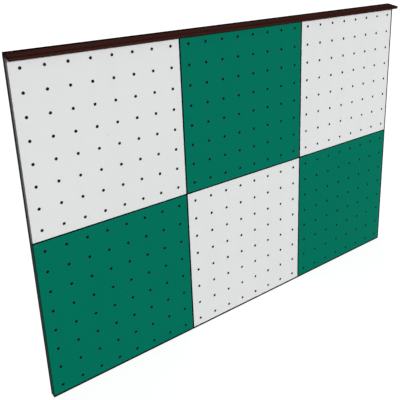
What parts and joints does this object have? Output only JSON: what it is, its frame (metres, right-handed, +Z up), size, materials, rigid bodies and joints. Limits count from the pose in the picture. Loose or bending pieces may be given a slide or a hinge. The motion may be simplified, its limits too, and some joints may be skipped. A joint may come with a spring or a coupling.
{
  "type": "bouldering wall",
  "caption": "Flat climbing wall of square white and green plywood panels with a grid of bolt holes, screwed to dark battens under a brown capping board tilted to the front.",
  "frame": {"origin": "the middle of the middle rail's back face, where the wall lies against the building", "axes": "+X along the wall to the right as seen from the front, +Y into the building, +Z up"},
  "size_m": [3.597, 0.114, 2.4212],
  "materials": {
    "panel_white": "white painted plywood, satin",
    "panel_green": "green painted plywood, satin",
    "cap_brown": "dark brown stained board, satin",
    "batten_black": "black stained softwood, matt",
    "screw_white": "steel with a white painted head",
    "screw_green": "steel with a green painted head",
    "screw_brown": "steel with a dark brown painted head",
    "tnut_steel": "black zinc plated"
  },
  "bodies": {
    "root": {"panel_lower_left": "panel_green", "screw_lower_left_1": "screw_green", "screw_lower_left_2": "screw_green", "screw_lower_left_3": "screw_green", "screw_lower_left_4": "screw_green", "screw_lower_left_5": "screw_green", "panel_lower_middle": "panel_white", "screw_lower_middle_1": "screw_white", "screw_lower_middle_2": "screw_white", "screw_lower_middle_3": "screw_white", "screw_lower_middle_4": "screw_white", "screw_lower_middle_5": "screw_white", "panel_lower_right": "panel_green", "screw_lower_right_1": "screw_green", "screw_lower_right_2": "screw_green", "screw_lower_right_3": "screw_green", "screw_lower_right_4": "screw_green", "screw_lower_right_5": "screw_green", "panel_upper_left": "panel_white", "screw_upper_left_1": "screw_white", "screw_upper_left_2": "screw_white", "screw_upper_left_3": "screw_white", "screw_upper_left_4": "screw_white", "screw_upper_left_5": "screw_white", "panel_upper_middle": "panel_green", "screw_upper_middle_1": "screw_green", "screw_upper_middle_2": "screw_green", "screw_upper_middle_3": "screw_green", "screw_upper_middle_4": "screw_green", "screw_upper_middle_5": "screw_green", "panel_upper_right": "panel_white", "screw_upper_right_1": "screw_white", "screw_upper_right_2": "screw_white", "screw_upper_right_3": "screw_white", "screw_upper_right_4": "screw_white", "screw_upper_right_5": "screw_white", "cap_board": "cap_brown", "cap_screw_1": "screw_brown", "cap_screw_2": "screw_brown", "cap_screw_3": "screw_brown", "cap_screw_4": "screw_brown", "cap_screw_5": "screw_brown", "cap_screw_6": "screw_brown", "rail_bottom": "batten_black", "rail_middle": "batten_black", "rail_top": "batten_black", "stud_lower_1": "batten_black", "stud_lower_2": "batten_black", "stud_lower_3": "batten_black", "stud_lower_4": "batten_black", "stud_lower_5": "batten_black", "stud_lower_6": "batten_black", "stud_lower_7": "batten_black", "stud_upper_1": "batten_black", "stud_upper_2": "batten_black", "stud_upper_3": "batten_black", "stud_upper_4": "batten_black", "stud_upper_5": "batten_black", "stud_upper_6": "batten_black", "stud_upper_7": "batten_black"}
  },
  "joints": []
}
